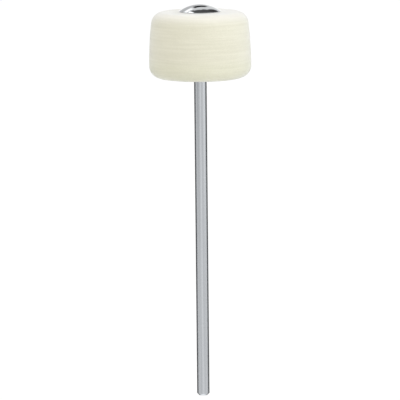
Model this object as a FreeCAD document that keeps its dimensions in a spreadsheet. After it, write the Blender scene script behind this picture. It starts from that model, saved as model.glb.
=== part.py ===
import FreeCAD, Part
import Sketcher
import os

# Bass drum beater: a felt head on a steel rod, held by a domed cap nut.
#
# The rod stands on the origin and runs up +Z. A snap ring and a washer carry the felt from below.
# Above the felt the rod is turned down to a threaded spigot, whose shoulder seats a second washer, a spring
# washer and the cap nut. The front is the -Y side.

# Driving dimensions, in millimetres unless the name ends in angle or share: name, value, what it measures.
DIMENSIONS = (
    ("rod_dia", 8.0, "rod, the size that pedal hubs clamp"),
    ("rod_foot_chamfer", 1.3, "chamfer round the rod's foot"),
    ("head_base", 208.0, "height of the felt's underside above the rod's foot"),
    ("felt_dia", 65.0, "felt at its widest"),
    ("felt_taper", 2.5, "how far the felt's side draws in from its widest to its top, before rounding"),
    ("felt_height", 41.8, "felt, underside to top"),
    ("felt_belly", 8.0, "height of the widest part above the felt's underside"),
    ("felt_foot_round", 7.4, "rounding of the felt's lower edge"),
    ("felt_top_round", 7.5, "rounding of the felt's upper edge"),
    ("felt_bore_gap", 0.1, "clearance all round the rod in the felt"),
    ("felt_recess_gap", 0.2, "clearance all round the upper washer in the felt"),
    ("lower_washer_dia", 22.0, "lower washer, outside"),
    ("lower_washer_thick", 1.5, "lower washer, thickness"),
    ("upper_washer_dia", 22.0, "upper washer, outside"),
    ("upper_washer_thick", 1.5, "upper washer, thickness"),
    ("washer_bore_gap", 0.2, "clearance all round the rod or spigot in a washer"),
    ("washer_edge_round", 0.3, "rounding of the washers' outer edges"),
    ("ring_thick", 0.8, "snap ring, thickness"),
    ("ring_back_width", 1.7, "snap ring, width opposite its opening"),
    ("ring_end_width", 1.1, "snap ring, width beside its opening"),
    ("ring_opening", 2.4, "snap ring, opening between its ends"),
    ("ring_lug_dia", 3.0, "snap ring, lug for the pliers"),
    ("ring_lug_spacing", 4.8, "snap ring, distance between the lugs' holes"),
    ("ring_lug_reach", 5.3, "snap ring, distance of the lugs' holes behind the rod's axis"),
    ("ring_eye_dia", 1.2, "snap ring, hole in a lug"),
    ("groove_depth", 0.2, "groove in the rod, below its surface"),
    ("groove_play", 0.1, "play of the snap ring along its groove"),
    ("spigot_dia", 6.0, "threaded spigot, over the thread"),
    ("thread_pitch", 1.0, "rise of the thread in one turn"),
    ("thread_depth_share", 0.6134, "depth of the thread as a share of its pitch"),
    ("thread_crest_share", 0.125, "flat crest of the thread as a share of its pitch"),
    ("thread_lap_share", 0.05, "how far a thread cut starts outside the metal, as a share of the pitch"),
    ("thread_flank_angle", 30.0, "slope of a thread flank, in degrees"),
    ("thread_gap", 0.1, "clearance between the spigot's thread and the nut's"),
    ("spring_washer_dia", 11.8, "spring washer, outside"),
    ("spring_washer_thick", 1.6, "spring washer, thickness"),
    ("spring_washer_gap", 0.1, "clearance all round the spigot in the spring washer"),
    ("spring_washer_open_angle", 14.0, "opening of the spring washer, in degrees"),
    ("cap_dia", 26.8, "cap nut at its rim"),
    ("cap_rim", 0.3, "height of the cap nut's upright rim"),
    ("cap_rise", 4.4, "rise of the dome above the rim"),
    ("cap_edge_round", 0.15, "rounding between rim and dome"),
    ("cap_wall", 0.8, "metal left above the threaded hole"),
    ("cap_gap", 0.1, "space between the felt's top and the tight cap nut"),
)

# Radii and heights that several pieces share, worked out from the sheet.
ROD_R = "(dims.rod_dia / 2)"
GROOVE_R = f"({ROD_R} - dims.groove_depth)"
SPIGOT_R = "(dims.spigot_dia / 2)"
RING_TOP = "(dims.head_base - dims.lower_washer_thick)"
RING_FOOT = f"({RING_TOP} - dims.ring_thick)"
FELT_TOP = "(dims.head_base + dims.felt_height)"
CAP_SEAT = f"({FELT_TOP} + dims.cap_gap)"
SPRING_SEAT = f"({CAP_SEAT} - dims.spring_washer_thick)"
SHOULDER = f"({SPRING_SEAT} - dims.upper_washer_thick)"
HOLE_DEPTH = "(dims.cap_rim + dims.cap_rise - dims.cap_wall)"
# The nut's thread runs out over its last pitch, so the spigot ends below that.
SPIGOT_TOP = f"({CAP_SEAT} + {HOLE_DEPTH} - dims.thread_pitch)"

# The thread: its root, and the half width of the groove between two ridges at the root.
THREAD_DEPTH = "(dims.thread_pitch * dims.thread_depth_share)"
THREAD_LAP = "(dims.thread_pitch * dims.thread_lap_share)"
THREAD_SLOPE = "tan(dims.thread_flank_angle)"
THREAD_ROOT_R = f"({SPIGOT_R} - {THREAD_DEPTH})"
ROOT_HALF = f"(dims.thread_pitch * (1 - dims.thread_crest_share) / 2 - {THREAD_DEPTH} * {THREAD_SLOPE})"
HOLE_R = f"({THREAD_ROOT_R} + dims.thread_gap)"

FULL_TURN = 360
SAME_PLACE = 1e-6


def add_sheet(doc):
    """Keep the driving dimensions in a sheet, one to a row."""
    sheet = doc.addObject("Spreadsheet::Sheet", "dims")
    for row, (name, value, note) in enumerate(DIMENSIONS, 1):
        sheet.set(f"A{row}", name)
        sheet.set(f"B{row}", str(value))
        sheet.set(f"C{row}", note)
        sheet.setAlias(f"B{row}", name)
    doc.recompute()
    return sheet


def add_body(doc, name, height="0"):
    """Start a sub-part whose own origin stands at this height on the rod's axis."""
    body = doc.addObject("PartDesign::Body", name)
    body.Label = name
    body.setExpression("Placement.Base.z", height)
    return body


def origin_plane(body, role):
    return next(feature for feature in body.Origin.OriginFeatures if feature.Role == role)


def add_sketch(body, name, role):
    sketch = body.newObject("Sketcher::SketchObject", name)
    sketch.AttachmentSupport = [(origin_plane(body, role), "")]
    sketch.MapMode = "FlatFace"
    return sketch


def value_of(sketch, expression):
    return float(sketch.evalExpression(expression))


def pin_coordinate(sketch, kind, geometry, place, expression):
    """Hold one coordinate of a point at an expression, or on the axis where that is zero."""
    if expression == "0":
        axis = -2 if kind == "DistanceX" else -1
        sketch.addConstraint(Sketcher.Constraint("PointOnObject", geometry, place, axis))
        return
    value = value_of(sketch, expression)
    number = sketch.addConstraint(Sketcher.Constraint(kind, -1, 1, geometry, place, value))
    sketch.setExpression(f"Constraints[{number}]", expression)


def pin_point(sketch, geometry, place, across, up):
    pin_coordinate(sketch, "DistanceX", geometry, place, across)
    pin_coordinate(sketch, "DistanceY", geometry, place, up)


def arc_centre(start, end, known, value):
    """Centre of the arc between two points, from the coordinate of it that is known."""
    middle = (start + end) / 2
    chord = end - start
    if known == "DistanceX":
        return FreeCAD.Vector(value, middle.y - chord.x * (value - middle.x) / chord.y, 0)
    return FreeCAD.Vector(middle.x - chord.y * (value - middle.y) / chord.x, value, 0)


def draw_outline(sketch, corners, arcs=None):
    """Draw a closed outline, counter-clockwise, through corners given as pairs of expressions.

    arcs makes the side that leaves a corner an arc: it gives one known coordinate of that arc's centre.
    """
    arcs = arcs or {}
    points = [FreeCAD.Vector(value_of(sketch, across), value_of(sketch, up), 0) for across, up in corners]
    count = len(points)
    for side, start in enumerate(points):
        end = points[(side + 1) % count]
        if side in arcs:
            known, expression = arcs[side]
            centre = arc_centre(start, end, known, value_of(sketch, expression))
            circle = Part.Circle(centre, FreeCAD.Vector(0, 0, 1), (start - centre).Length)
            sketch.addGeometry(Part.ArcOfCircle(circle, circle.parameter(start), circle.parameter(end)))
        else:
            sketch.addGeometry(Part.LineSegment(start, end))
    for side, (across, up) in enumerate(corners):
        sketch.addConstraint(Sketcher.Constraint("Coincident", side, 2, (side + 1) % count, 1))
        pin_point(sketch, side, 1, across, up)
        if side in arcs:
            known, expression = arcs[side]
            pin_coordinate(sketch, known, side, 3, expression)


def draw_circle(sketch, radius, across="0", up="0"):
    """Draw a circle whose radius and centre are expressions."""
    centre = FreeCAD.Vector(value_of(sketch, across), value_of(sketch, up), 0)
    size = value_of(sketch, radius)
    geometry = sketch.addGeometry(Part.Circle(centre, FreeCAD.Vector(0, 0, 1), size))
    number = sketch.addConstraint(Sketcher.Constraint("Radius", geometry, size))
    sketch.setExpression(f"Constraints[{number}]", radius)
    pin_point(sketch, geometry, 3, across, up)


def add_turned(body, name, corners, arcs=None, angle=str(FULL_TURN)):
    """Turn an outline, drawn across and up from the axis, about that axis."""
    sketch = add_sketch(body, f"{name}_outline", "XZ_Plane")
    draw_outline(sketch, corners, arcs)
    turned = body.newObject("PartDesign::Revolution", name)
    turned.Profile = sketch
    turned.ReferenceAxis = (sketch, ["V_Axis"])
    turned.setExpression("Angle", angle)
    body.Document.recompute()
    return turned


def add_pad(body, name, sketch, thickness):
    pad = body.newObject("PartDesign::Pad", name)
    pad.Profile = sketch
    pad.setExpression("Length", thickness)
    body.Document.recompute()
    return pad


def add_pocket(body, name, sketch):
    """Cut a sketch right through what lies above it."""
    pocket = body.newObject("PartDesign::Pocket", name)
    pocket.Profile = sketch
    pocket.Type = "ThroughAll"
    pocket.Reversed = True
    body.Document.recompute()
    return pocket


def add_mirrored(body, name, features):
    """Repeat features on the other side of the plane through the rod's axis and its back."""
    mirrored = body.newObject("PartDesign::Mirrored", name)
    mirrored.Originals = features
    mirrored.MirrorPlane = (origin_plane(body, "YZ_Plane"), [""])
    body.Tip = mirrored
    body.Document.recompute()
    return mirrored


def ring_edges(feature, radius, height):
    """Names of a feature's round edges about the axis with this radius and height."""
    names = []
    for number, edge in enumerate(feature.Shape.Edges, 1):
        if edge.Degenerated or not isinstance(edge.Curve, Part.Circle):
            continue
        curve = edge.Curve
        if abs(curve.Radius - radius) < SAME_PLACE and abs(curve.Center.z - height) < SAME_PLACE:
            names.append(f"Edge{number}")
    return names


def dress_edges(body, kind, name, size_name, size, places):
    """Round or chamfer the feature at the body's tip, at places given as (radius, height) expressions."""
    base = body.Tip
    edges = []
    for radius, height in places:
        edges += ring_edges(base, value_of(base, radius), value_of(base, height))
    dressed = body.newObject(f"PartDesign::{kind}", name)
    dressed.Base = (base, edges)
    dressed.setExpression(size_name, size)
    body.Document.recompute()
    return dressed


def add_thread(body, name, corners, height):
    """Cut a right-handed thread with this groove outline, climbing this far."""
    sketch = add_sketch(body, f"{name}_outline", "XZ_Plane")
    draw_outline(sketch, corners)
    body.Document.recompute()
    thread = body.newObject("PartDesign::SubtractiveHelix", name)
    thread.Profile = sketch
    thread.ReferenceAxis = (sketch, ["V_Axis"])
    thread.Mode = "pitch-height-angle"
    thread.setExpression("Pitch", "dims.thread_pitch")
    thread.setExpression("Height", height)
    body.Document.recompute()
    return thread


def make_beater_rod(doc):
    """Rod with a chamfered foot, a snap ring groove under the head and a threaded spigot."""
    body = add_body(doc, "beater_rod")
    groove_foot = f"({RING_FOOT} - dims.groove_play)"
    add_turned(body, "turned_rod", (
        ("0", "0"),
        (ROD_R, "0"),
        (ROD_R, groove_foot),
        (GROOVE_R, groove_foot),
        (GROOVE_R, RING_TOP),
        (ROD_R, RING_TOP),
        (ROD_R, SHOULDER),
        (SPIGOT_R, SHOULDER),
        (SPIGOT_R, SPIGOT_TOP),
        ("0", SPIGOT_TOP),
    ))
    dress_edges(body, "Chamfer", "foot_chamfer", "Size", "dims.rod_foot_chamfer", ((ROD_R, "0"),))
    dress_edges(body, "Chamfer", "spigot_chamfer", "Size", THREAD_DEPTH, ((SPIGOT_R, SPIGOT_TOP),))
    # The thread starts one pitch below the tight nut and runs out past the spigot's end.
    start = f"({CAP_SEAT} - dims.thread_pitch)"
    outer = f"({SPIGOT_R} + {THREAD_LAP})"
    outer_half = f"({ROOT_HALF} + ({outer} - {THREAD_ROOT_R}) * {THREAD_SLOPE})"
    add_thread(body, "spigot_thread", (
        (THREAD_ROOT_R, f"{start} - {ROOT_HALF}"),
        (outer, f"{start} - {outer_half}"),
        (outer, f"{start} + {outer_half}"),
        (THREAD_ROOT_R, f"{start} + {ROOT_HALF}"),
    ), f"{SPIGOT_TOP} - {start} + dims.thread_pitch")
    return body


def make_washer(doc, name, height, shaft):
    """Punched plate washer for a shaft of this radius, with its outer edges rounded."""
    body = add_body(doc, name, height)
    outer = f"dims.{name}_dia / 2"
    thickness = f"dims.{name}_thick"
    sketch = add_sketch(body, "ring_outline", "XY_Plane")
    draw_circle(sketch, outer)
    draw_circle(sketch, f"{shaft} + dims.washer_bore_gap")
    add_pad(body, "plate", sketch, thickness)
    edges = ((outer, "0"), (outer, thickness))
    dress_edges(body, "Fillet", "punched_edges", "Radius", "dims.washer_edge_round", edges)
    return body


def make_retaining_ring(doc):
    """Snap ring: wider at the front than at its ends, which carry a lug each behind the rod."""
    body = add_body(doc, "retaining_ring", RING_FOOT)
    blank = add_sketch(body, "blank_outline", "XY_Plane")
    draw_circle(blank, f"{GROOVE_R} + (dims.ring_back_width + dims.ring_end_width) / 2",
                up="(dims.ring_end_width - dims.ring_back_width) / 2")
    add_pad(body, "blank", blank, "dims.ring_thick")
    lug_place = {"across": "dims.ring_lug_spacing / 2", "up": "dims.ring_lug_reach"}
    lug = add_sketch(body, "lug_outline", "XY_Plane")
    draw_circle(lug, "dims.ring_lug_dia / 2", **lug_place)
    add_mirrored(body, "lugs", [add_pad(body, "lug", lug, "dims.ring_thick")])
    bore = add_sketch(body, "bore_outline", "XY_Plane")
    draw_circle(bore, GROOVE_R)
    add_pocket(body, "bore", bore)
    opening = add_sketch(body, "opening_outline", "XY_Plane")
    half = "dims.ring_opening / 2"
    back = "dims.ring_lug_reach + dims.ring_lug_dia"
    draw_outline(opening, ((f"-{half}", "0"), (half, "0"), (half, back), (f"-{half}", back)))
    add_pocket(body, "opening", opening)
    eye = add_sketch(body, "eye_outline", "XY_Plane")
    draw_circle(eye, "dims.ring_eye_dia / 2", **lug_place)
    add_mirrored(body, "eyes", [add_pocket(body, "eye", eye)])
    return body


def make_felt_head(doc):
    """Felt barrel with a bore for the rod and a recess in its top for the upper washer."""
    body = add_body(doc, "felt_head", "dims.head_base")
    bore = f"({ROD_R} + dims.felt_bore_gap)"
    recess = "(dims.upper_washer_dia / 2 + dims.felt_recess_gap)"
    recess_floor = f"({SHOULDER} - dims.head_base)"
    widest = "(dims.felt_dia / 2)"
    top = f"({widest} - dims.felt_taper)"
    add_turned(body, "barrel", (
        (bore, "0"),
        (widest, "0"),
        (widest, "dims.felt_belly"),
        (top, "dims.felt_height"),
        (recess, "dims.felt_height"),
        (recess, recess_floor),
        (bore, recess_floor),
    ), {2: ("DistanceY", "dims.felt_belly")})
    dress_edges(body, "Fillet", "foot_round", "Radius", "dims.felt_foot_round", ((widest, "0"),))
    dress_edges(body, "Fillet", "top_round", "Radius", "dims.felt_top_round", ((top, "dims.felt_height"),))
    return body


def make_spring_washer(doc):
    """Split lock washer, pressed flat by the tight nut."""
    body = add_body(doc, "spring_washer", SPRING_SEAT)
    inner = f"{SPIGOT_R} + dims.spring_washer_gap"
    outer = "dims.spring_washer_dia / 2"
    add_turned(body, "split_ring", (
        (inner, "0"),
        (outer, "0"),
        (outer, "dims.spring_washer_thick"),
        (inner, "dims.spring_washer_thick"),
    ), angle=f"{FULL_TURN} - dims.spring_washer_open_angle")
    return body


def make_cap_nut(doc):
    """Low dome with an upright rim and a blind threaded hole in its flat underside."""
    body = add_body(doc, "cap_nut", CAP_SEAT)
    rim = "(dims.cap_dia / 2)"
    add_turned(body, "dome", (
        (HOLE_R, "0"),
        (rim, "0"),
        (rim, "dims.cap_rim"),
        ("0", "dims.cap_rim + dims.cap_rise"),
        ("0", HOLE_DEPTH),
        (HOLE_R, HOLE_DEPTH),
    ), {2: ("DistanceX", "0")})
    dress_edges(body, "Fillet", "rim_round", "Radius", "dims.cap_edge_round", ((rim, "dims.cap_rim"),))
    # The nut's grooves lie half a pitch above the spigot's, so that each takes one of its ridges.
    start = "(dims.thread_pitch / 2)"
    inner = f"({HOLE_R} - {THREAD_LAP})"
    outer = f"({SPIGOT_R} + dims.thread_gap)"
    ridge_half = f"(dims.thread_pitch / 2 - {ROOT_HALF} + dims.thread_gap)"
    inner_half = f"({ridge_half} - ({inner} - {THREAD_ROOT_R}) * {THREAD_SLOPE})"
    outer_half = f"({ridge_half} - ({outer} - {THREAD_ROOT_R}) * {THREAD_SLOPE})"
    add_thread(body, "nut_thread", (
        (inner, f"-{start} - {inner_half}"),
        (outer, f"-{start} - {outer_half}"),
        (outer, f"-{start} + {outer_half}"),
        (inner, f"-{start} + {inner_half}"),
    ), HOLE_DEPTH)
    return body


def check_model(doc, bodies):
    """Stop unless every object was rebuilt and every sub-part is one valid solid."""
    for item in doc.Objects:
        if "Invalid" in item.State or "Error" in item.State:
            raise RuntimeError(f"{item.Label} is {item.State}")
    for body in bodies:
        shape = body.Shape
        if shape.isNull() or not shape.isValid() or len(shape.Solids) != 1:
            raise RuntimeError(f"{body.Label} is not one valid solid")


def main():
    doc = FreeCAD.newDocument("bass_drum_beater")
    add_sheet(doc)
    bodies = [
        make_beater_rod(doc),
        make_retaining_ring(doc),
        make_washer(doc, "lower_washer", RING_TOP, ROD_R),
        make_felt_head(doc),
        make_washer(doc, "upper_washer", SHOULDER, SPIGOT_R),
        make_spring_washer(doc),
        make_cap_nut(doc),
    ]
    doc.recompute()
    check_model(doc, bodies)
    os.makedirs("parts", exist_ok=True)
    for body in bodies:
        body.Shape.exportStep(f"parts/{body.Label}.step")
        box = body.Shape.BoundBox
        print(f"{body.Label}: {body.Shape.Volume:.1f} mm3, z {box.ZMin:.2f} to {box.ZMax:.2f}")


main()
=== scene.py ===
import math
import random

import bpy
from mathutils import Matrix, Vector, noise


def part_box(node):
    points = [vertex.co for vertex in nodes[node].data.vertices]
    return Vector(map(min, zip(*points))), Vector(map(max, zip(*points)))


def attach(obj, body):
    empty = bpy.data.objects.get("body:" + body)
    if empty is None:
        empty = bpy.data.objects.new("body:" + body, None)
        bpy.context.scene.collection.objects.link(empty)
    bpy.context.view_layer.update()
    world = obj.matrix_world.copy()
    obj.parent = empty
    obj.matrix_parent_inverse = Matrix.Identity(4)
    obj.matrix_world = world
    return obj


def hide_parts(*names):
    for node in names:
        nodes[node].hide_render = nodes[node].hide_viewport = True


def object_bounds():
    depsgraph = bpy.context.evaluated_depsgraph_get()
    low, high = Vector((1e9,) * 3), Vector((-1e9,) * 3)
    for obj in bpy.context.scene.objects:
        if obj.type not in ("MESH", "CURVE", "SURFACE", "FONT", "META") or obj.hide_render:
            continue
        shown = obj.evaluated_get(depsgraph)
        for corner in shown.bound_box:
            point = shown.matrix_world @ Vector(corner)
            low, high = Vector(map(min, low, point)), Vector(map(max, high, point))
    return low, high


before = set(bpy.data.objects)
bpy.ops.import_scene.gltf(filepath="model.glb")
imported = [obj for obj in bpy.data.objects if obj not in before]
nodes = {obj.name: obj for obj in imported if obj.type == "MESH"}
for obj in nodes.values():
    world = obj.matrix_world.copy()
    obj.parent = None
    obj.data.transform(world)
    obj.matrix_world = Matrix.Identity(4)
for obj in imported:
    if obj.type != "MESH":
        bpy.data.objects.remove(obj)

cad_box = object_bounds()
beater_top = Vector((0, 0, cad_box[1].z))

# Every length below is in metres
MM = 0.001

# The felt head's outline, the same sizes as its solid
FELT_BELLY = 8.0 * MM
FELT_TAPER = 2.5 * MM
FELT_FOOT_ROUND = 7.4 * MM
FELT_TOP_ROUND = 7.5 * MM
FELT_BORE_RADIUS = 4.1 * MM
FELT_RECESS_RADIUS = 11.2 * MM
FELT_RECESS_DEPTH = 3.0 * MM
FELT_CUT_ROUND = 0.6 * MM

# How finely the felt is drawn
FELT_STEP = 0.36 * MM
FELT_FLAT_STEP = 0.7 * MM
FELT_BORE_STEP = 2.0 * MM
FELT_SIDES = 320
MERGE_GAP = 0.001 * MM
SMOOTH_ANGLE = math.radians(50)

# The rings that the lathe left on the felt's side. Each has a share of the depth and of the width, and it
# comes and goes along its run. The shift makes each ring do so in places of its own
RING_SEED = 7
RING_SPACING = 2.7 * MM
RING_STRAY = 0.7 * MM
RING_DEPTH = 0.04 * MM
RING_DEPTH_SHARES = (0.4, 1)
RING_WIDTH = 0.38 * MM
RING_WIDTH_SHARES = (0.8, 1.6)
RING_REACH_SHARE = 3
RING_RUN = 22.0 * MM
RING_SHIFT = 7.3
RING_USUAL_SHARE = 0.5
RING_CHANGE_SHARE = 1.4

# The slight lumps of pressed wool. The felt is smooth in the middle, where the washers and the cap sit
LUMP_SIZE = 16.0 * MM
LUMP_HEIGHT = 0.12 * MM
MOTTLE_SIZE = 2.4 * MM
MOTTLE_HEIGHT = 0.03 * MM
SMOOTH_INSIDE = 12.0 * MM
ROUGH_OUTSIDE = 16.0 * MM

# The felt's colours, dark and pale, and the sizes of its patterns
# The foot's darker, warmer colours are painted shade
FELT_SHADED_FOOT_COLOURS = ("#DDDAC0", "#E7E4CD")
FELT_SIDE_COLOURS = ("#E0DCC5", "#EAE6D1")
# The end's paler colours are a painted highlight from the light above
FELT_LIT_END_COLOURS = ("#E0DCCF", "#E8E4D8")
# The height up to which the foot's painted shade fades into the side
FELT_FOOT_SHADE_HEIGHT = 16.0 * MM
TONE_RUN = 30.0 * MM
TONE_SPACING = 1.3 * MM
PATCH_SIZE = 9.0 * MM
FIBRE_LENGTH = 2.4 * MM
FIBRE_WIDTH = 0.26 * MM
FIBRE_RELIEF = 0.15 * MM
FIBRE_TURNS = [(0.2, 0.3, 0.5), (0.1, -1.1, -0.4), (0.4, 0.5, 2.0), (-0.3, 1.3, 1.2)]

# The sizes of the metals' patterns
STREAK_LENGTH = 130.0 * MM
STREAK_WIDTH = 0.9 * MM
STREAK_RELIEF = 0.05 * MM
RUB_LENGTH = 5.0 * MM
RUB_WIDTH = 0.5 * MM
ZINC_GRAIN = 0.8 * MM
WEAR_SIZE = 1.2 * MM

# The colour sockets of a Mix node, which share their names with its number sockets
MIX_A = 6
MIX_B = 7
MIX_RESULT = 2

# The camera: a long lens a little above the beater, tipped so that the rod leans as in the photograph
CAMERA_DISTANCE = 1.65
CAMERA_ELEVATION = math.radians(9.75)
CAMERA_ROLL = math.radians(-0.56)
CAMERA_LENS = 231.1
CAMERA_SENSOR = 36.0
CAMERA_REACH = 100.0
CAMERA_AIM = Vector((-0.96 * MM, 0, 128.5 * MM))

# The studio: a white floor and surround, a slightly cool key lamp on the right and a white one overhead
WHITE = (1, 1, 1, 1)
FLOOR_SIZE = 12.0
FLOOR_COLOUR = "#ECECEC"
FLOOR_WHITE = 1.05
FLOOR_WHITE_SHARE = 0.9
WORLD_LIGHT = 0.8
KEY_PLACE = Vector((1.15, -0.8, 1.0))
KEY_SIZE = 1.2
KEY_COLOUR = "#EAF1FF"
KEY_POWER = 7.6
TOP_PLACE = Vector((-0.08, -0.12, 1.6))
TOP_SIZE = 1.4
TOP_COLOUR = "#FFFFFF"
TOP_POWER = 8.2

# Cards that only the metal mirrors: direction from straight behind (right is positive) and height above
# the horizon, both from and to, how far the right end leans up and how soft the edges are, all in
# degrees, and brightness. A card hides those that come after it
CARDS = {
    "left_rod_flag": (-77, -36, -50, 4, 0, 4, 0.18),
    "right_rod_flag": (36, 77, -50, 4, 0, 4, 0.18),
    "left_rod_shade": (-160, -84, -9.5, 4, 0, 4, 0.64),
    "right_rod_strip": (96, 124, -11, 4, 0, 4, 1.6),
    "front_strip": (174, 186, -40, 4, 0, 4, 1.35),
    "foot_flag": (-34, 34, -46, -14, 0, 4, 0.04),
    "foot_glow": (-70, 70, -90, -52, 0, 6, 1.9),
    "low_back_strip": (-70, 70, 4, 13, 0, 4, 1.35),
    "low_dome_flag": (-10.5, 9.5, 36, 49, -10, 4, 0.015),
    "back_wall": (-60, 6, 14, 36, 0, 4, 0.72),
    "left_softbox": (-38, -16, 41.5, 51, 0, 4, 1.9),
    "left_high_softbox": (-50, -34, 55, 72, 0, 4, 2.4),
    "overhead_left_flag": (-33, -20, 54, 85, 5, 8, 0.13),
    "overhead_right_flag": (8, 42, 59, 85, -13, 8, 0.11),
    "right_dome_flag": (21.5, 43, 27, 60, 0, 5, 0.07),
    "overhead_shade": (-184, 184, 61, 96, 0, 5, 0.12),
    # Softer ones for the other three sides, which the photograph does not show
    "right_side_softbox": (50, 70, 42, 56, 0, 11, 1.8),
    "front_side_softbox": (136, 156, 42, 56, 0, 11, 1.8),
    "left_side_softbox": (226, 246, 42, 56, 0, 11, 1.8),
    "side_band": (62, 296, 34, 47, 0, 11, 0.08),
}
CARD_DISTANCE = 2.5
CARD_GAP = 0.01
CARD_CUTS = 24


def linear(colour):
    """Turns an sRGB hex colour into the linear values that shader sockets hold."""
    levels = [int(colour[i : i + 2], 16) / 255 for i in (1, 3, 5)]
    return (*[v / 12.92 if v <= 0.04045 else ((v + 0.055) / 1.055) ** 2.4 for v in levels], 1)


def add_node(tree, kind, inputs=None, **settings):
    """Adds a node, sets its properties, and sets or links its inputs by name or number."""
    node = tree.nodes.new(kind)
    for name, value in settings.items():
        setattr(node, name, value)
    for name, value in (inputs or {}).items():
        if isinstance(value, bpy.types.NodeSocket):
            tree.links.new(value, node.inputs[name])
        else:
            node.inputs[name].default_value = value
    return node


def new_material(name):
    """An empty material with its shader, and the object coordinates that its patterns read."""
    material = bpy.data.materials.new(name)
    material.use_nodes = True
    tree = material.node_tree
    place = add_node(tree, "ShaderNodeTexCoord").outputs["Object"]
    return material, tree, tree.nodes["Principled BSDF"], place


def per_size(*sizes):
    """A Mapping scale at which a pattern of scale 1 repeats about once in each of these lengths."""
    return [1 / size for size in sizes]


def felt_colour(tree, place):
    """The felt's cream in faint rings and patches, with painted shade that makes the foot darker and
    warmer and a painted highlight that makes the end paler.
    """
    ring_place = add_node(
        tree, "ShaderNodeMapping",
        {"Vector": place, "Scale": per_size(TONE_RUN, TONE_RUN, TONE_SPACING)},
    )
    rings = add_node(
        tree, "ShaderNodeTexNoise", {"Vector": ring_place.outputs[0], "Scale": 1, "Detail": 2}
    )
    ring_tone = add_node(
        tree, "ShaderNodeMapRange",
        {"Value": rings.outputs[0], "From Min": 0.35, "From Max": 0.65},
    )
    patch_place = add_node(
        tree, "ShaderNodeMapping",
        {"Vector": place, "Scale": per_size(PATCH_SIZE, PATCH_SIZE, PATCH_SIZE)},
    )
    patches = add_node(
        tree, "ShaderNodeTexNoise", {"Vector": patch_place.outputs[0], "Scale": 1, "Detail": 4}
    )
    tone = add_node(
        tree, "ShaderNodeMix",
        {"Factor": 0.5, "A": ring_tone.outputs[0], "B": patches.outputs[0]},
    )
    foot, side, end = [
        add_node(
            tree, "ShaderNodeMix",
            {"Factor": tone.outputs[0], MIX_A: linear(dark), MIX_B: linear(pale)},
            data_type="RGBA",
        ).outputs[MIX_RESULT]
        for dark, pale in (FELT_SHADED_FOOT_COLOURS, FELT_SIDE_COLOURS, FELT_LIT_END_COLOURS)
    ]
    low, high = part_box("felt_head")
    height = add_node(tree, "ShaderNodeSeparateXYZ", {0: place}).outputs["Z"]
    # Painted shade at the foot fades out up the side, and a painted highlight makes the end paler
    colour = foot
    for next_colour, start, full in (
        (side, low.z + FELT_FOOT_ROUND, low.z + FELT_FOOT_SHADE_HEIGHT),
        (end, high.z - FELT_TOP_ROUND, high.z),
    ):
        share = add_node(
            tree, "ShaderNodeMapRange",
            {"Value": height, "From Min": start, "From Max": full},
            interpolation_type="SMOOTHSTEP",
        )
        colour = add_node(
            tree, "ShaderNodeMix",
            {"Factor": share.outputs[0], MIX_A: colour, MIX_B: next_colour},
            data_type="RGBA",
        ).outputs[MIX_RESULT]
    return colour


def felt_fibres(tree, place):
    """How far the matted fibres stand up: strands that run several ways, one over another."""
    # Wool fibres are 0.03 mm thick; these strands are as coarse as a close view needs to show them
    mat = None
    for turn in FIBRE_TURNS:
        strand_place = add_node(
            tree, "ShaderNodeMapping",
            {"Vector": place, "Rotation": turn, "Scale": (FIBRE_LENGTH, FIBRE_WIDTH, FIBRE_WIDTH)},
            vector_type="TEXTURE",
        )
        strands = add_node(
            tree, "ShaderNodeTexNoise",
            {"Vector": strand_place.outputs[0], "Scale": 1, "Detail": 2, "Distortion": 0.6},
        )
        if mat is None:
            mat = strands.outputs[0]
        else:
            mat = add_node(
                tree, "ShaderNodeMath", {0: mat, 1: strands.outputs[0]}, operation="MAXIMUM"
            ).outputs[0]
    return mat


def pressed_wool_felt():
    """Pressed wool felt, turned on a lathe and sanded: dull cream, with faint rings and matted fibres.

    The end is a little paler than the side, a painted highlight, and the foot is a little darker and
    warmer, painted shade. Loose fibres give a faint sheen at the edges.
    """
    material, tree, shader, place = new_material("pressed_wool_felt")
    fibres = felt_fibres(tree, place)
    # Painted shade between the fibres and painted light on the raised ones, on top of their bump
    painted_fibre_shade = add_node(
        tree, "ShaderNodeMapRange",
        {"Value": fibres, "From Min": 0.45, "From Max": 0.8, "To Min": 0.95, "To Max": 1.06},
    )
    colour = add_node(
        tree, "ShaderNodeVectorMath",
        {0: felt_colour(tree, place), "Scale": painted_fibre_shade.outputs[0]},
        operation="SCALE",
    )
    relief = add_node(
        tree, "ShaderNodeBump", {"Strength": 0.7, "Distance": FIBRE_RELIEF, "Height": fibres}
    )
    tree.links.new(colour.outputs[0], shader.inputs["Base Color"])
    tree.links.new(relief.outputs[0], shader.inputs["Normal"])
    shader.inputs["Roughness"].default_value = 0.95
    shader.inputs["Specular IOR Level"].default_value = 0.2
    shader.inputs["Sheen Weight"].default_value = 0.5
    shader.inputs["Sheen Roughness"].default_value = 0.5
    shader.inputs["Sheen Tint"].default_value = linear("#DEE6F6")
    return material


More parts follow.
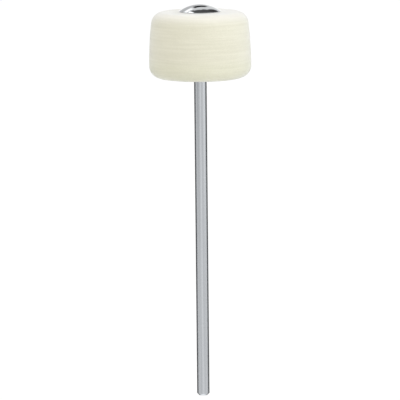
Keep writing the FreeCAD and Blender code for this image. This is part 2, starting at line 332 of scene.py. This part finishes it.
def drawn_plated_steel():
    """Drawn steel bar with a thin satin plating: fine streaks along the rod, where the die pulled it.

    At a grazing angle the plating mirrors less, so the rod's edges look dark.
    """
    material, tree, shader, place = new_material("drawn_plated_steel")
    # The die's marks are under 0.1 mm wide; these streaks are as coarse as the render needs to show them
    streak_place = add_node(
        tree, "ShaderNodeMapping",
        {"Vector": place, "Scale": per_size(STREAK_WIDTH, STREAK_WIDTH, STREAK_LENGTH)},
    )
    streaks = add_node(
        tree, "ShaderNodeTexNoise",
        {"Vector": streak_place.outputs[0], "Scale": 1, "Detail": 3, "Roughness": 0.6},
    )
    tone = add_node(
        tree, "ShaderNodeMapRange", {"Value": streaks.outputs[0], "From Min": 0.3, "From Max": 0.7}
    )
    colour = add_node(
        tree, "ShaderNodeMix",
        {"Factor": tone.outputs[0], MIX_A: linear("#AFB2B6"), MIX_B: linear("#C6C9CC")},
        data_type="RGBA",
    )
    gloss = add_node(
        tree, "ShaderNodeMapRange",
        {"Value": streaks.outputs[0], "From Min": 0.3, "From Max": 0.7, "To Min": 0.2, "To Max": 0.3},
    )
    relief = add_node(
        tree, "ShaderNodeBump",
        {"Strength": 0.1, "Distance": STREAK_RELIEF, "Height": streaks.outputs[0]},
    )
    tree.links.new(colour.outputs[MIX_RESULT], shader.inputs["Base Color"])
    tree.links.new(gloss.outputs[0], shader.inputs["Roughness"])
    tree.links.new(relief.outputs[0], shader.inputs["Normal"])
    shader.inputs["Metallic"].default_value = 1
    shader.inputs["Specular Tint"].default_value = linear("#000000")
    return material


def polished_chrome():
    """Polished chrome plating: a mirror with the faintest haze and a few hairline rubs."""
    material, tree, shader, place = new_material("polished_chrome")
    rub_place = add_node(
        tree, "ShaderNodeMapping",
        {"Vector": place, "Scale": per_size(RUB_LENGTH, RUB_WIDTH, RUB_LENGTH)},
    )
    rubs = add_node(
        tree, "ShaderNodeTexNoise", {"Vector": rub_place.outputs[0], "Scale": 1, "Detail": 4}
    )
    gloss = add_node(
        tree, "ShaderNodeMapRange",
        {"Value": rubs.outputs[0], "From Min": 0.45, "From Max": 0.75, "To Min": 0.035, "To Max": 0.09},
    )
    tree.links.new(gloss.outputs[0], shader.inputs["Roughness"])
    shader.inputs["Base Color"].default_value = linear("#C6C8CA")
    shader.inputs["Metallic"].default_value = 1
    return material


def zinc_plated_steel():
    """Stamped steel with bright zinc plating: a cool grey with a fine crystalline mottle."""
    material, tree, shader, place = new_material("zinc_plated_steel")
    grain_place = add_node(
        tree, "ShaderNodeMapping",
        {"Vector": place, "Scale": per_size(ZINC_GRAIN, ZINC_GRAIN, ZINC_GRAIN)},
    )
    grain = add_node(
        tree, "ShaderNodeTexNoise", {"Vector": grain_place.outputs[0], "Scale": 1, "Detail": 4}
    )
    colour = add_node(
        tree, "ShaderNodeMix",
        {"Factor": grain.outputs[0], MIX_A: linear("#A9AFB4"), MIX_B: linear("#C3C8CB")},
        data_type="RGBA",
    )
    gloss = add_node(
        tree, "ShaderNodeMapRange", {"Value": grain.outputs[0], "To Min": 0.26, "To Max": 0.42}
    )
    tree.links.new(colour.outputs[MIX_RESULT], shader.inputs["Base Color"])
    tree.links.new(gloss.outputs[0], shader.inputs["Roughness"])
    shader.inputs["Metallic"].default_value = 1
    return material


def oiled_spring_steel():
    """Hardened spring steel, phosphated and oiled: dark, with worn brighter patches."""
    material, tree, shader, place = new_material("oiled_spring_steel")
    wear_place = add_node(
        tree, "ShaderNodeMapping",
        {"Vector": place, "Scale": per_size(WEAR_SIZE, WEAR_SIZE, WEAR_SIZE)},
    )
    wear = add_node(
        tree, "ShaderNodeTexNoise", {"Vector": wear_place.outputs[0], "Scale": 1, "Detail": 5}
    )
    colour = add_node(
        tree, "ShaderNodeMix",
        {"Factor": wear.outputs[0], MIX_A: linear("#3C3936"), MIX_B: linear("#6A6763")},
        data_type="RGBA",
    )
    gloss = add_node(
        tree, "ShaderNodeMapRange", {"Value": wear.outputs[0], "To Min": 0.5, "To Max": 0.32}
    )
    tree.links.new(colour.outputs[MIX_RESULT], shader.inputs["Base Color"])
    tree.links.new(gloss.outputs[0], shader.inputs["Roughness"])
    shader.inputs["Metallic"].default_value = 1
    return material


def line_points(start, end, step):
    """Points along a straight run of the outline, the last one left to the next run."""
    count = max(1, round((end - start).length / step))
    return [start.lerp(end, i / count) for i in range(count)]


def arc_points(centre, radius, start, end, step):
    """Points along an arc of the outline between two angles, the last one left to the next run."""
    count = max(2, round(abs(end - start) * radius / step))
    angles = [start + (end - start) * i / count for i in range(count)]
    return [centre + radius * Vector((math.cos(a), math.sin(a))) for a in angles]


def felt_outline():
    """The felt's half section as points of radius and height, once round from the bore's foot."""
    low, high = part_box("felt_head")
    foot = low.z
    top = high.z
    radius = max(high.x, high.y)
    right_angle = math.pi / 2
    rise = top - foot - FELT_BELLY
    side_radius = (rise**2 + FELT_TAPER**2) / (2 * FELT_TAPER)
    side_centre = Vector((radius - side_radius, foot + FELT_BELLY))
    foot_centre = Vector((radius - FELT_FOOT_ROUND, foot + FELT_FOOT_ROUND))
    reach = side_radius - FELT_TOP_ROUND
    drop = top - FELT_TOP_ROUND - side_centre.y
    top_centre = side_centre + Vector((math.sqrt(reach**2 - drop**2), drop))
    lean = math.asin(drop / reach)
    floor = top - FELT_RECESS_DEPTH
    foot_cut = Vector((FELT_BORE_RADIUS + FELT_CUT_ROUND, foot + FELT_CUT_ROUND))
    mouth_cut = Vector((FELT_RECESS_RADIUS + FELT_CUT_ROUND, top - FELT_CUT_ROUND))
    recess_top = Vector((FELT_RECESS_RADIUS, mouth_cut.y))
    recess_floor = Vector((FELT_RECESS_RADIUS, floor))
    bore_top = Vector((FELT_BORE_RADIUS, floor))
    bore_foot = Vector((FELT_BORE_RADIUS, foot_cut.y))
    points = arc_points(foot_cut, FELT_CUT_ROUND, math.pi, math.pi + right_angle, FELT_STEP)
    points += line_points(Vector((foot_cut.x, foot)), Vector((foot_centre.x, foot)), FELT_FLAT_STEP)
    points += arc_points(foot_centre, FELT_FOOT_ROUND, -right_angle, 0, FELT_STEP)
    points += line_points(Vector((radius, foot_centre.y)), Vector((radius, side_centre.y)), FELT_STEP)
    points += arc_points(side_centre, side_radius, 0, lean, FELT_STEP)
    points += arc_points(top_centre, FELT_TOP_ROUND, lean, right_angle, FELT_STEP)
    points += line_points(Vector((top_centre.x, top)), Vector((mouth_cut.x, top)), FELT_FLAT_STEP)
    points += arc_points(mouth_cut, FELT_CUT_ROUND, right_angle, math.pi, FELT_STEP)
    points += line_points(recess_top, recess_floor, FELT_FLAT_STEP)
    points += line_points(recess_floor, bore_top, FELT_FLAT_STEP)
    points += line_points(bore_top, bore_foot, FELT_BORE_STEP)
    return points


def turned_piece(name, outline, sides):
    """Draws an outline point by point from a plane merged to one vertex, and spins it round Z."""
    points = [Vector((point.x, 0, point.y)) for point in outline]
    points.append(points[0])
    bpy.ops.object.select_all(action="DESELECT")
    bpy.ops.mesh.primitive_plane_add(size=MM, location=points[0])
    piece = bpy.context.object
    piece.name = name
    bpy.ops.object.transform_apply(location=True, rotation=False, scale=False)
    bpy.ops.object.mode_set(mode="EDIT")
    bpy.ops.mesh.merge(type="CENTER")
    for last, point in zip(points, points[1:]):
        bpy.ops.mesh.extrude_region_move(TRANSFORM_OT_translate={"value": point - last})
    bpy.ops.mesh.select_all(action="SELECT")
    bpy.ops.mesh.spin(steps=sides, angle=2 * math.pi, center=(0, 0, 0), axis=(0, 0, 1))
    bpy.ops.mesh.select_all(action="SELECT")
    bpy.ops.mesh.remove_doubles(threshold=MERGE_GAP)
    bpy.ops.mesh.normals_make_consistent(inside=False)
    bpy.ops.object.mode_set(mode="OBJECT")
    bpy.ops.object.shade_smooth_by_angle(angle=SMOOTH_ANGLE)
    return piece


def ease(value):
    """A smooth step from 0 to 1."""
    value = min(max(value, 0), 1)
    return value * value * (3 - 2 * value)


def lathe_rings(foot, top):
    """The height, depth and width of each ring between two heights."""
    random.seed(RING_SEED)
    rings = []
    height = foot + RING_SPACING
    while height < top:
        depth = RING_DEPTH * random.uniform(*RING_DEPTH_SHARES)
        width = RING_WIDTH * random.uniform(*RING_WIDTH_SHARES)
        rings.append((height, depth, width))
        height += RING_SPACING + random.uniform(-RING_STRAY, RING_STRAY)
    return rings


def felt_relief(spot, rings):
    """How far the felt stands out at a spot: lumps and mottle, less the rings that pass there."""
    out = LUMP_HEIGHT * noise.noise(spot / LUMP_SIZE)
    out += MOTTLE_HEIGHT * noise.noise(spot / MOTTLE_SIZE)
    for index, (height, depth, width) in enumerate(rings):
        away = (spot.z - height) / width
        if abs(away) < RING_REACH_SHARE:
            along = Vector((spot.x / RING_RUN, spot.y / RING_RUN, index * RING_SHIFT))
            strength = ease(RING_USUAL_SHARE + RING_CHANGE_SHARE * noise.noise(along))
            out -= depth * math.exp(-away * away) * strength
    return out


def felt_head():
    """The felt, spun from its outline, with the lathe's faint rings and the wool's slight lumps."""
    felt = turned_piece("felt_barrel", felt_outline(), FELT_SIDES)
    low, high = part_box("felt_head")
    rings = lathe_rings(low.z, high.z - FELT_TOP_ROUND)
    moves = []
    for vertex in felt.data.vertices:
        radius = math.hypot(vertex.co.x, vertex.co.y)
        share = ease((radius - SMOOTH_INSIDE) / (ROUGH_OUTSIDE - SMOOTH_INSIDE))
        moves.append(share * felt_relief(vertex.co, rings) * vertex.normal)
    for vertex, move in zip(felt.data.vertices, moves):
        vertex.co += move
    felt.data.materials.append(pressed_wool_felt())
    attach(felt, "head")
    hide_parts("felt_head")


def dress_metal():
    """Gives the metal solids their finishes."""
    zinc = zinc_plated_steel()
    spring = oiled_spring_steel()
    finishes = {
        "beater_rod": drawn_plated_steel(),
        "cap_nut": polished_chrome(),
        "lower_washer": zinc,
        "upper_washer": zinc,
        "retaining_ring": spring,
        "spring_washer": spring,
    }
    for name, finish in finishes.items():
        nodes[name].material_slots[0].material = finish


def background_rays(tree):
    """1 for the rays that show the background: straight from the camera, mirrored or through glass."""
    path = add_node(tree, "ShaderNodeLightPath")
    shown = path.outputs["Is Camera Ray"]
    for kind in ("Is Glossy Ray", "Is Transmission Ray"):
        shown = add_node(
            tree, "ShaderNodeMath", {0: shown, 1: path.outputs[kind]}, operation="MAXIMUM"
        ).outputs[0]
    return shown


def white_paper():
    """Matt white paper, blended towards plain white where it is the background."""
    material = bpy.data.materials.new("white_paper")
    material.use_nodes = True
    tree = material.node_tree
    paper = tree.nodes["Principled BSDF"]
    paper.inputs["Base Color"].default_value = linear(FLOOR_COLOUR)
    paper.inputs["Roughness"].default_value = 1
    paper.inputs["Specular IOR Level"].default_value = 0
    white = add_node(tree, "ShaderNodeEmission", {"Color": WHITE, "Strength": FLOOR_WHITE})
    share = add_node(
        tree, "ShaderNodeMath", {0: background_rays(tree), 1: FLOOR_WHITE_SHARE}, operation="MULTIPLY"
    )
    lifted = add_node(
        tree, "ShaderNodeMixShader", {0: share.outputs[0], 1: paper.outputs[0], 2: white.outputs[0]}
    )
    tree.links.new(lifted.outputs[0], tree.nodes["Material Output"].inputs["Surface"])
    return material


def studio_floor():
    """A plain white floor that takes the shadow. The metal mirrors the white surround in its place."""
    bpy.ops.object.select_all(action="DESELECT")
    bpy.ops.mesh.primitive_plane_add(size=FLOOR_SIZE)
    floor = bpy.context.object
    floor.name = "floor"
    floor.data.materials.append(white_paper())
    floor.visible_glossy = False


def card_glow(name, level, edge_shares):
    """A card's even glow, which fades out over its edges. Their shares are of its width and height."""
    material = bpy.data.materials.new(name)
    material.use_nodes = True
    tree = material.node_tree
    tree.nodes.remove(tree.nodes["Principled BSDF"])
    place = add_node(tree, "ShaderNodeTexCoord")
    across = add_node(tree, "ShaderNodeSeparateXYZ", {0: place.outputs["UV"]})
    fades = []
    for axis, edge_share in zip("XY", edge_shares):
        inside = add_node(
            tree, "ShaderNodeMath", {0: across.outputs[axis], 1: 0.5}, operation="PINGPONG"
        )
        fade = add_node(
            tree, "ShaderNodeMapRange",
            {"Value": inside.outputs[0], "From Max": edge_share},
            interpolation_type="SMOOTHSTEP",
        )
        fades.append(fade.outputs[0])
    cover = add_node(tree, "ShaderNodeMath", {0: fades[0], 1: fades[1]}, operation="MULTIPLY")
    clear = add_node(tree, "ShaderNodeBsdfTransparent")
    glow = add_node(tree, "ShaderNodeEmission", {"Color": WHITE, "Strength": level})
    faded = add_node(
        tree, "ShaderNodeMixShader", {0: cover.outputs[0], 1: clear.outputs[0], 2: glow.outputs[0]}
    )
    tree.links.new(faded.outputs[0], tree.nodes["Material Output"].inputs["Surface"])
    return material


def studio_card(name, distance, left, right, low, high, lean, edge, level):
    """A curved card round the beater's top with soft edges, seen by mirror rays alone."""
    width = right - left + edge
    height = high - low + edge
    bpy.ops.object.select_all(action="DESELECT")
    bpy.ops.mesh.primitive_grid_add(x_subdivisions=CARD_CUTS, y_subdivisions=CARD_CUTS, size=1)
    card = bpy.context.object
    card.name = name
    for vertex in card.data.vertices:
        turn = math.radians((left + right) / 2 + width * vertex.co.x)
        tilt = math.radians((low + high) / 2 + height * vertex.co.y + lean * (vertex.co.x + 0.5))
        flat = math.cos(tilt)
        out = Vector((flat * math.sin(turn), flat * math.cos(turn), math.sin(tilt)))
        vertex.co = beater_top + distance * out
    card.data.materials.append(card_glow(name, level, (edge / width, edge / height)))
    card.visible_camera = False
    card.visible_diffuse = False
    card.visible_shadow = False
    card.visible_transmission = False


def studio_cards():
    """The cards, each a little further off than the last."""
    for index, (name, sizes) in enumerate(CARDS.items()):
        studio_card(name, CARD_DISTANCE + CARD_GAP * index, *sizes)


def studio_world():
    """A white surround for the camera and for mirror rays, and a plain soft light for the rest."""
    world = bpy.data.worlds.new("white_studio")
    bpy.context.scene.world = world
    world.use_nodes = True
    tree = world.node_tree
    level = add_node(
        tree, "ShaderNodeMapRange", {"Value": background_rays(tree), "To Min": WORLD_LIGHT, "To Max": 1}
    )
    tree.links.new(level.outputs[0], tree.nodes["Background"].inputs["Strength"])
    tree.nodes["Background"].inputs["Color"].default_value = WHITE


def studio_lamp(name, place, size, colour, power):
    """A broad soft lamp, aimed at the beater's top and not mirrored in the metal."""
    lamp = bpy.data.lights.new(name, "AREA")
    lamp.size = size
    lamp.color = linear(colour)[:3]
    lamp.energy = power
    holder = bpy.data.objects.new(name, lamp)
    bpy.context.scene.collection.objects.link(holder)
    holder.location = place
    holder.rotation_euler = (beater_top - place).to_track_quat("-Z", "Y").to_euler()
    holder.visible_glossy = False
    holder.visible_camera = False


def add_camera():
    """The photograph's viewpoint."""
    lens = bpy.data.cameras.new("camera")
    lens.lens = CAMERA_LENS
    lens.sensor_width = CAMERA_SENSOR
    lens.clip_end = CAMERA_REACH
    camera = bpy.data.objects.new("camera", lens)
    bpy.context.scene.collection.objects.link(camera)
    back = Vector((0, -math.cos(CAMERA_ELEVATION), math.sin(CAMERA_ELEVATION)))
    turn = (-back).to_track_quat("-Z", "Y").to_matrix() @ Matrix.Rotation(CAMERA_ROLL, 3, "Z")
    camera.matrix_world = Matrix.Translation(CAMERA_AIM + CAMERA_DISTANCE * back) @ turn.to_4x4()
    bpy.context.scene.camera = camera


felt_head()
dress_metal()
studio_floor()
studio_cards()
studio_world()
studio_lamp("key", KEY_PLACE, KEY_SIZE, KEY_COLOUR, KEY_POWER)
studio_lamp("top", TOP_PLACE, TOP_SIZE, TOP_COLOUR, TOP_POWER)
add_camera()
bpy.context.scene.view_settings.view_transform = "Standard"
